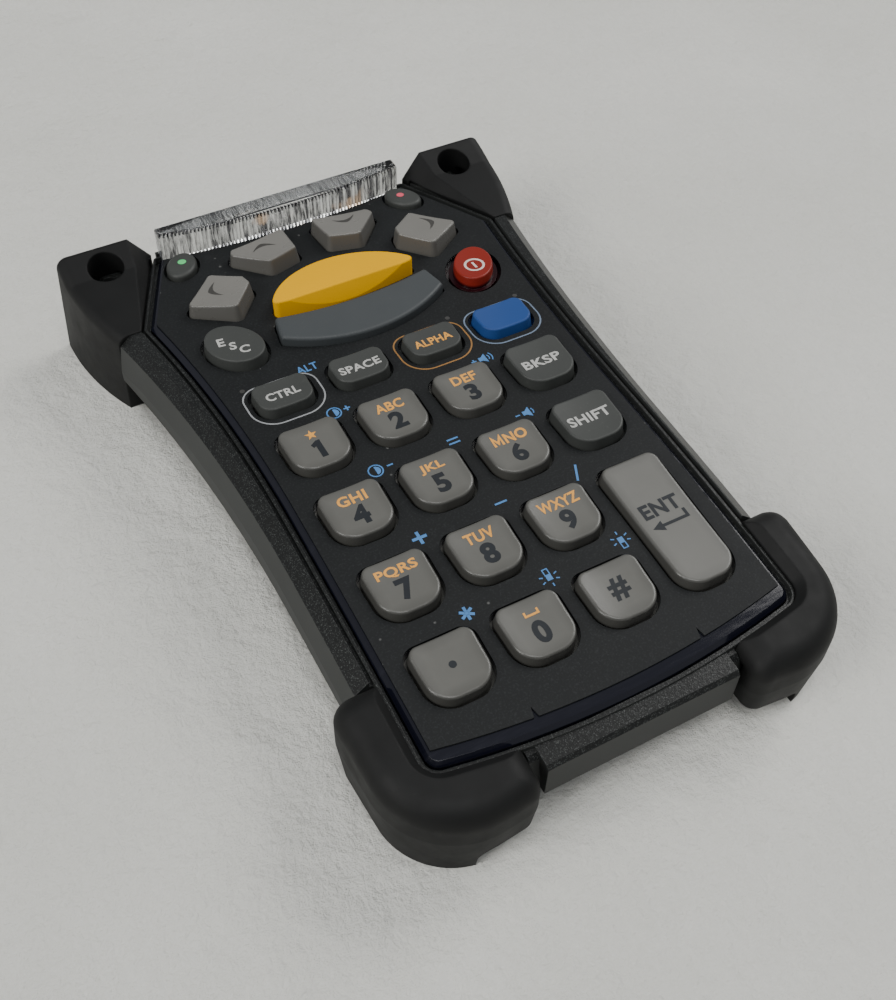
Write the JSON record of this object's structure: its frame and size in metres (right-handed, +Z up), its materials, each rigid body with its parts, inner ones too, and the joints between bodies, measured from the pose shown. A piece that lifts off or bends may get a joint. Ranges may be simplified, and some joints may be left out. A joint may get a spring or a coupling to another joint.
{
  "type": "numeric keypad unit",
  "caption": "Numeric keypad unit of a rugged hand-held computer: light digit keys, dark function keys, arrow, scan and power keys, a clear light bar and rubber corners.",
  "frame": {"origin": "centre of the footprint, on the surface the unit stands on", "axes": "+Z up out of the keypad face, +Y towards the light bar at the back, +X to the right of someone who reads the keys"},
  "size_m": [0.0866, 0.1244, 0.0199],
  "materials": {
    "case_plastic": "fine-textured dark grey moulded plastic",
    "plate_gloss": "glossy near-black plate",
    "overlay_matte": "matte dark grey printed layer",
    "rubber_black": "matte near-black moulded rubber",
    "lens_clear": "clear ribbed plastic",
    "seal_foam": "black foam",
    "silicone": "translucent grey silicone",
    "board_green": "green solder mask",
    "dome_steel": "stainless spring steel",
    "screw_steel": "dark plated steel",
    "lamp_white": "white lamp body",
    "chip_black": "black package",
    "key_light_grey": "light warm grey key plastic",
    "key_dark_grey": "dark grey key plastic",
    "key_translucent": "smoky translucent key plastic",
    "key_slate": "slate grey semi-gloss key plastic",
    "key_yellow": "golden yellow key plastic",
    "key_blue": "blue key plastic",
    "key_red": "red key plastic"
  },
  "bodies": {
    "unit": {"case_body": "case_plastic", "back_cover": "case_plastic", "face_plate": "plate_gloss", "face_overlay": "overlay_matte", "ear_right": "rubber_black", "ear_left": "rubber_black", "bumper_right": "rubber_black", "bumper_left": "rubber_black", "light_lens": "lens_clear", "seal_gasket": "seal_foam", "keymat": "silicone", "circuit_board": "board_green", "snap_domes": "dome_steel", "board_screws": "screw_steel", "cover_screws": "screw_steel", "key_lights": "lamp_white", "lens_lamps": "lamp_white", "control_chip": "chip_black", "board_connector": "chip_black"},
    "key_0": {"key_0": "key_light_grey"},
    "key_1": {"key_1": "key_light_grey"},
    "key_2": {"key_2": "key_light_grey"},
    "key_3": {"key_3": "key_light_grey"},
    "key_4": {"key_4": "key_light_grey"},
    "key_5": {"key_5": "key_light_grey"},
    "key_6": {"key_6": "key_light_grey"},
    "key_7": {"key_7": "key_light_grey"},
    "key_8": {"key_8": "key_light_grey"},
    "key_9": {"key_9": "key_light_grey"},
    "key_dot": {"key_dot": "key_light_grey"},
    "key_hash": {"key_hash": "key_light_grey"},
    "key_enter": {"key_enter": "key_light_grey"},
    "key_backspace": {"key_backspace": "key_dark_grey"},
    "key_shift": {"key_shift": "key_dark_grey"},
    "key_ctrl": {"key_ctrl": "key_dark_grey"},
    "key_space": {"key_space": "key_dark_grey"},
    "key_alpha": {"key_alpha": "key_dark_grey"},
    "key_escape": {"key_escape": "key_dark_grey"},
    "key_green_dot": {"key_green_dot": "key_dark_grey"},
    "key_red_dot": {"key_red_dot": "key_dark_grey"},
    "key_arrow_left": {"key_arrow_left": "key_translucent"},
    "key_arrow_right": {"key_arrow_right": "key_translucent"},
    "key_arrow_up": {"key_arrow_up": "key_translucent"},
    "key_arrow_down": {"key_arrow_down": "key_translucent"},
    "key_bar": {"key_bar": "key_slate"},
    "key_scan": {"key_scan": "key_yellow"},
    "key_function": {"key_function": "key_blue"},
    "key_power": {"key_power": "key_red"}
  },
  "joints": [
    {"name": "key_0_press", "type": "slide", "parent": "unit", "child": "key_0", "axis": [0, 0, -1], "range_m": [0, 0.0008], "stiffness_N_per_m": 1200, "springref_m": -0.0003},
    {"name": "key_1_press", "type": "slide", "parent": "unit", "child": "key_1", "axis": [0, 0, -1], "range_m": [0, 0.0008], "stiffness_N_per_m": 1200, "springref_m": -0.0003},
    {"name": "key_2_press", "type": "slide", "parent": "unit", "child": "key_2", "axis": [0, 0, -1], "range_m": [0, 0.0008], "stiffness_N_per_m": 1200, "springref_m": -0.0003},
    {"name": "key_3_press", "type": "slide", "parent": "unit", "child": "key_3", "axis": [0, 0, -1], "range_m": [0, 0.0008], "stiffness_N_per_m": 1200, "springref_m": -0.0003},
    {"name": "key_4_press", "type": "slide", "parent": "unit", "child": "key_4", "axis": [0, 0, -1], "range_m": [0, 0.0008], "stiffness_N_per_m": 1200, "springref_m": -0.0003},
    {"name": "key_5_press", "type": "slide", "parent": "unit", "child": "key_5", "axis": [0, 0, -1], "range_m": [0, 0.0008], "stiffness_N_per_m": 1200, "springref_m": -0.0003},
    {"name": "key_6_press", "type": "slide", "parent": "unit", "child": "key_6", "axis": [0, 0, -1], "range_m": [0, 0.0008], "stiffness_N_per_m": 1200, "springref_m": -0.0003},
    {"name": "key_7_press", "type": "slide", "parent": "unit", "child": "key_7", "axis": [0, 0, -1], "range_m": [0, 0.0008], "stiffness_N_per_m": 1200, "springref_m": -0.0003},
    {"name": "key_8_press", "type": "slide", "parent": "unit", "child": "key_8", "axis": [0, 0, -1], "range_m": [0, 0.0008], "stiffness_N_per_m": 1200, "springref_m": -0.0003},
    {"name": "key_9_press", "type": "slide", "parent": "unit", "child": "key_9", "axis": [0, 0, -1], "range_m": [0, 0.0008], "stiffness_N_per_m": 1200, "springref_m": -0.0003},
    {"name": "key_dot_press", "type": "slide", "parent": "unit", "child": "key_dot", "axis": [0, 0, -1], "range_m": [0, 0.0008], "stiffness_N_per_m": 1200, "springref_m": -0.0003},
    {"name": "key_hash_press", "type": "slide", "parent": "unit", "child": "key_hash", "axis": [0, 0, -1], "range_m": [0, 0.0008], "stiffness_N_per_m": 1200, "springref_m": -0.0003},
    {"name": "key_enter_press", "type": "slide", "parent": "unit", "child": "key_enter", "axis": [0, 0, -1], "range_m": [0, 0.0008], "stiffness_N_per_m": 1200, "springref_m": -0.0003},
    {"name": "key_backspace_press", "type": "slide", "parent": "unit", "child": "key_backspace", "axis": [0, 0, -1], "range_m": [0, 0.0008], "stiffness_N_per_m": 1200, "springref_m": -0.0003},
    {"name": "key_shift_press", "type": "slide", "parent": "unit", "child": "key_shift", "axis": [0, 0, -1], "range_m": [0, 0.0008], "stiffness_N_per_m": 1200, "springref_m": -0.0003},
    {"name": "key_ctrl_press", "type": "slide", "parent": "unit", "child": "key_ctrl", "axis": [0, 0, -1], "range_m": [0, 0.0008], "stiffness_N_per_m": 1200, "springref_m": -0.0003},
    {"name": "key_space_press", "type": "slide", "parent": "unit", "child": "key_space", "axis": [0, 0, -1], "range_m": [0, 0.0008], "stiffness_N_per_m": 1200, "springref_m": -0.0003},
    {"name": "key_alpha_press", "type": "slide", "parent": "unit", "child": "key_alpha", "axis": [0, 0, -1], "range_m": [0, 0.0008], "stiffness_N_per_m": 1200, "springref_m": -0.0003},
    {"name": "key_escape_press", "type": "slide", "parent": "unit", "child": "key_escape", "axis": [0, 0, -1], "range_m": [0, 0.0008], "stiffness_N_per_m": 1200, "springref_m": -0.0003},
    {"name": "key_green_dot_press", "type": "slide", "parent": "unit", "child": "key_green_dot", "axis": [0, 0, -1], "range_m": [0, 0.0008], "stiffness_N_per_m": 1200, "springref_m": -0.0003},
    {"name": "key_red_dot_press", "type": "slide", "parent": "unit", "child": "key_red_dot", "axis": [0, 0, -1], "range_m": [0, 0.0008], "stiffness_N_per_m": 1200, "springref_m": -0.0003},
    {"name": "key_arrow_left_press", "type": "slide", "parent": "unit", "child": "key_arrow_left", "axis": [0, 0, -1], "range_m": [0, 0.0008], "stiffness_N_per_m": 1200, "springref_m": -0.0003},
    {"name": "key_arrow_right_press", "type": "slide", "parent": "unit", "child": "key_arrow_right", "axis": [0, 0, -1], "range_m": [0, 0.0008], "stiffness_N_per_m": 1200, "springref_m": -0.0003},
    {"name": "key_arrow_up_press", "type": "slide", "parent": "unit", "child": "key_arrow_up", "axis": [0, 0, -1], "range_m": [0, 0.0008], "stiffness_N_per_m": 1200, "springref_m": -0.0003},
    {"name": "key_arrow_down_press", "type": "slide", "parent": "unit", "child": "key_arrow_down", "axis": [0, 0, -1], "range_m": [0, 0.0008], "stiffness_N_per_m": 1200, "springref_m": -0.0003},
    {"name": "key_bar_press", "type": "slide", "parent": "unit", "child": "key_bar", "axis": [0, 0, -1], "range_m": [0, 0.0008], "stiffness_N_per_m": 1200, "springref_m": -0.0003},
    {"name": "key_scan_press", "type": "slide", "parent": "unit", "child": "key_scan", "axis": [0, 0, -1], "range_m": [0, 0.0008], "stiffness_N_per_m": 1200, "springref_m": -0.0003},
    {"name": "key_function_press", "type": "slide", "parent": "unit", "child": "key_function", "axis": [0, 0, -1], "range_m": [0, 0.0008], "stiffness_N_per_m": 1200, "springref_m": -0.0003},
    {"name": "key_power_press", "type": "slide", "parent": "unit", "child": "key_power", "axis": [0, 0, -1], "range_m": [0, 0.0008], "stiffness_N_per_m": 1200, "springref_m": -0.0003}
  ]
}
